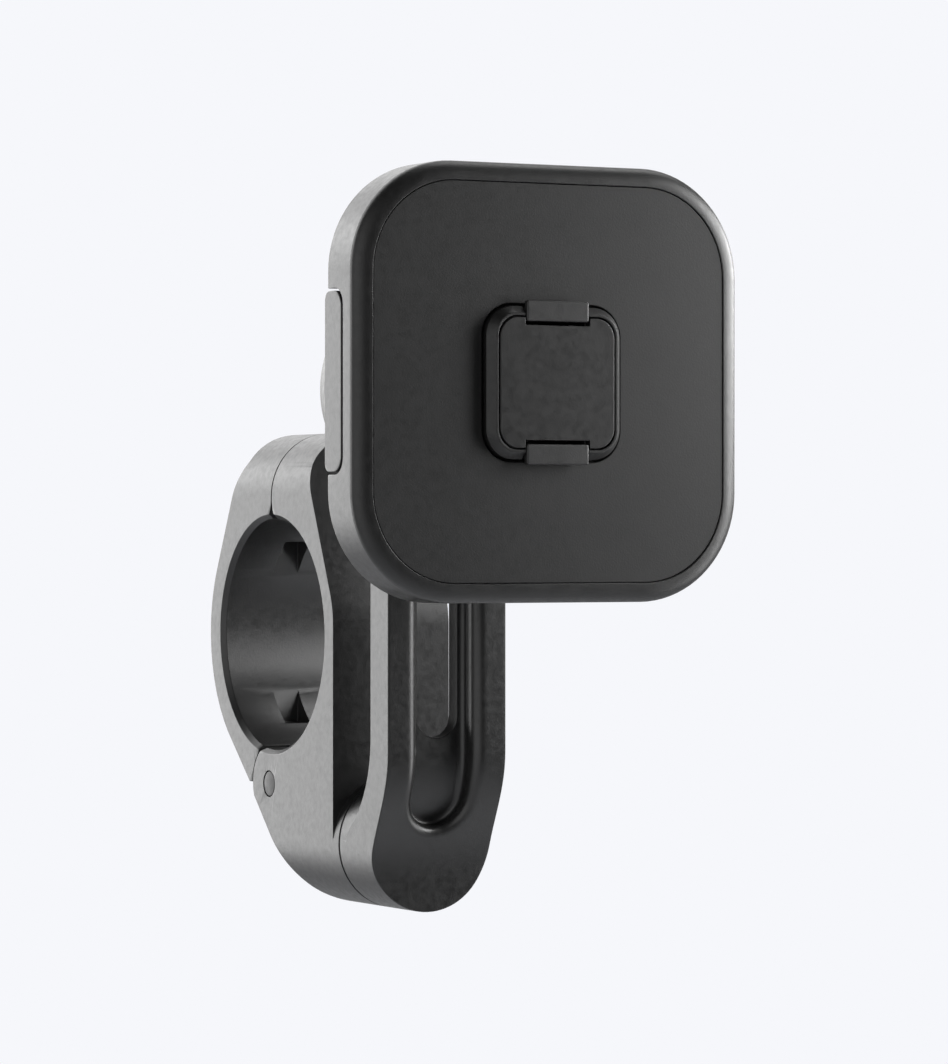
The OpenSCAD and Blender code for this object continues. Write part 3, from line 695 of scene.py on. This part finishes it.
def make_lock():
    low, high = limits("lock_frame")
    block_half, block_corner, wall, lean, land = 10.6, 4.2, 70.3, 0.95, 0.38
    flange_back, flange_front = 66.2, 68.4
    crest = -low.y
    plate_low, plate_high = limits("lock_plate")
    recess = -plate_high.y - 0.05
    rings = [square_ring(high.x, 3.5, flange_back), square_ring(high.x, 3.5, flange_front)]
    rings += [square_ring(block_half, block_corner, flange_front)]
    section = soft([(0, flange_front, 0), (0, wall, 0.12), (lean, crest, 0.1), (lean + land, crest, 0.06),
                    (lean + land, recess, 0)], 0, 3, closed=False)
    rings += [square_ring(block_half - inset, block_corner - inset, d) for inset, d in section[1:]]
    body = ring_solid(rings)
    for sign in (1, -1):
        up = sorted((sign * TAB_SLOT, sign * 16))
        body = join(body, block((-TAB_HALF - 0.1, TAB_HALF + 0.1), up, (flange_front + 0.02, 75)), "DIFFERENCE")
        up = sorted((sign * TAB_SLOT, sign * 10.0))
        body = join(body, block((-TAB_HALF - 0.1, TAB_HALF + 0.1), up, (60, 70)), "DIFFERENCE")
    break_edges(body, 0.06, 1)
    finish_piece("lock_frame", body)
    half, corner, edge = plate_high.x - 0.12, 2.8, 0.12
    back, front = -plate_high.y, -plate_low.y
    rings = [square_ring(plate_high.x, corner, back), square_ring(plate_high.x, corner, back + 0.6)]
    rings += [square_ring(half, corner, back + 0.6)]
    rings += [square_ring(half - edge * (1 - math.cos(a)), corner - edge * (1 - math.cos(a)),
                          front - edge * (1 - math.sin(a)))
              for a in (0, math.pi / 6, math.pi / 3, math.pi / 2)]
    plate = ring_solid(rings)
    for sign in (1, -1):
        up = sorted((sign * TAB_SLOT, sign * 16))
        plate = join(plate, block((-TAB_HALF - 0.2, TAB_HALF + 0.2), up, (60, 75)), "DIFFERENCE")
    break_edges(plate, 0.08, 2)
    finish_piece("lock_plate", plate)


def make_latch(node, sign):
    """A latch: its tab over the lock block, the riser under it, and two pins for the slider."""
    low, _ = limits(node)
    top, foot, pin_end = -low.y, 64.2, 63.05
    side = [(4.5, foot), (9.9, foot), (9.9, 70.7), (11.35, 70.7), (11.35, top), (8.5, top), (8.5, 66.1), (4.5, 66.1)]
    rings = [[(x, -d, HEAD_Z + sign * up) for up, d in side] for x in (-TAB_HALF, TAB_HALF)]
    body = ring_solid(rings)
    break_edges(body, 0.28, 4)
    for x in (-3, 3):
        pin = round_rings([(0, pin_end), (0.75, pin_end), (0.75, foot + 0.5), (0, foot + 0.5)],
                          (x, HEAD_Z + sign * 6.5), 32)
        body = join(body, ring_solid(pin, "pointed"), "UNION")
    finish_piece(node, body)


def on_outer_rim(point):
    """Whether a point of the head lies on its outer back edge."""
    half, corner = SHELL_HIGH.x, 15.4
    x, up = abs(point.x / MM), abs(point.z / MM - HEAD_Z)
    if point.y / MM < SHELL_HIGH.y - 0.01:
        return False
    if min(x, up) > half - corner:
        return math.hypot(x - half + corner, up - half + corner) > corner - 0.05
    return max(x, up) > half - 0.05


def make_shell():
    bm = fine_copy("head_shell")
    break_edges(bm, 0.3, 3, lambda edge: all(on_outer_rim(vert.co) for vert in edge.verts))
    break_edges(bm, 0.12)
    finish_piece("head_shell", bm)


def make_head():
    make_shell()
    make_bezel()
    make_panel()
    make_lock()
    make_latch("upper_latch", 1)
    make_latch("lower_latch", -1)
    carry("release_button", 0.14, 3)
    for node in ("magnet_ring", "magnet_back_iron", "cam_slider"):
        carry(node, 0.1)
    for node in ("upper_latch_spring", "lower_latch_spring"):
        carry(node, 0)


def make_clamp():
    carry("clamp_base", 0.06)
    carry("rear_jaw", 0.10)


# ---- stage ----

BACKGROUND = (0.922, 0.930, 0.965)
AMBIENT = 0.01
# soft glows of the room: direction, cosine where it starts, cosine where it is full, strength
GLOWS = {
    "left_behind": ((-0.50, 0.86, 0.02), 0.80, 0.97, 3.2),
    "above_behind": ((0.0, 0.80, 0.60), 0.75, 0.95, 2.0),
    "behind": ((0.10, 0.99, 0.0), 0.87, 0.98, 0.8),
    "right_behind": ((0.88, 0.47, 0.0), 0.65, 0.95, 0.35),
    "left_front": ((-0.88, -0.47, 0.0), 0.60, 0.95, 0.9),
}


def make_world():
    """The room: a pale background to the camera, and soft glows that light the object."""
    world = bpy.data.worlds.new("studio")
    bpy.context.scene.world = world
    world.use_nodes = True
    world.node_tree.nodes.clear()
    room = Nodes(world.node_tree)
    seen = room.node("ShaderNodeBackground")
    room.put(seen.inputs["Color"], (*BACKGROUND, 1))
    where = room.node("ShaderNodeTexCoord").outputs["Generated"]
    strength = room.node("ShaderNodeValue").outputs[0]
    strength.default_value = AMBIENT
    for direction, start, full, power in GLOWS.values():
        facing = room.node("ShaderNodeVectorMath", operation="DOT_PRODUCT")
        room.put(facing.inputs[0], where)
        room.put(facing.inputs[1], Vector(direction).normalized())
        glow = room.spread(facing.outputs["Value"], 0.0, power, start, full, "SMOOTHSTEP")
        strength = room.maths("ADD", strength, glow)
    lit = room.node("ShaderNodeBackground")
    room.put(lit.inputs["Strength"], strength)
    room.put(lit.inputs["Color"], (1, 1, 1, 1))
    choose = room.node("ShaderNodeMixShader")
    room.link(room.node("ShaderNodeLightPath").outputs["Is Camera Ray"], choose.inputs[0])
    room.link(lit.outputs[0], choose.inputs[1])
    room.link(seen.outputs[0], choose.inputs[2])
    room.link(choose.outputs[0], room.node("ShaderNodeOutputWorld").inputs["Surface"])


# softboxes near the object: direction, distance, width and height, power
SOFTBOXES = {
    "right_near": ((0.88, -0.47, 0.05), 0.30, (0.12, 0.35), 0.62),
    "right_close": ((0.75, -0.66, 0.25), 0.18, (0.05, 0.12), 0.14),
    "head_side": ((1.0, -0.16, 0.30), 0.22, (0.08, 0.08), 0.35),
    "front_left": ((-0.35, -0.90, 0.25), 0.8, (0.4, 0.4), 0.16),
    "top_right": ((0.45, 0.02, 0.87), 0.6, (0.3, 0.3), 0.9),
}


def make_softbox(name):
    """A square softbox that faces the object."""
    direction, distance, size, power = SOFTBOXES[name]
    light = bpy.data.lights.new(name, "AREA")
    light.shape = "RECTANGLE"
    light.size, light.size_y = size
    light.energy = power
    body = bpy.data.objects.new(name, light)
    bpy.context.scene.collection.objects.link(body)
    away = Vector(direction).normalized()
    body.location = Vector((0, -0.03, 0.02)) + away * distance
    body.rotation_euler = (-away).to_track_quat("-Z", "Y").to_euler()


def make_floor():
    """A round sheet of pale paper below the object, fading out at its rim."""
    radius, drop, steps = 1.15, 0.25, 64
    bm = bmesh.new()
    rim = [bm.verts.new((radius * math.cos(a), radius * math.sin(a), -drop))
           for a in (2 * math.pi * i / steps for i in range(steps))]
    bm.faces.new(rim)
    mesh = bpy.data.meshes.new("floor")
    bm.to_mesh(mesh)
    bm.free()
    floor = bpy.data.objects.new("floor", mesh)
    bpy.context.scene.collection.objects.link(floor)
    s = Shader("floor_paper")
    s.put(s.surface.inputs["Base Color"], (0.80, 0.81, 0.84, 1))
    s.put(s.surface.inputs["Roughness"], 0.9)
    away = s.node("ShaderNodeVectorMath", operation="LENGTH")
    s.link(s.place, away.inputs[0])
    s.put(s.surface.inputs["Alpha"], s.spread(away.outputs["Value"], 1.0, 0.0, 0.35, radius))
    mesh.materials.append(s.material)


def make_camera():
    data = bpy.data.cameras.new("camera")
    data.lens = 153.8
    data.sensor_width = 36
    camera = bpy.data.objects.new("camera", data)
    bpy.context.scene.collection.objects.link(camera)
    camera.location = (-0.3079, -0.6212, 0.0155)
    camera.rotation_euler = (math.radians(90), 0, math.radians(-28.2))
    bpy.context.scene.camera = camera


make_clamp()
make_fasteners()
make_arm()
make_knob()
make_joint()
make_carriage()
make_head()

make_world()
for softbox in SOFTBOXES:
    make_softbox(softbox)
make_floor()
make_camera()
bpy.context.scene.view_settings.view_transform = "Standard"
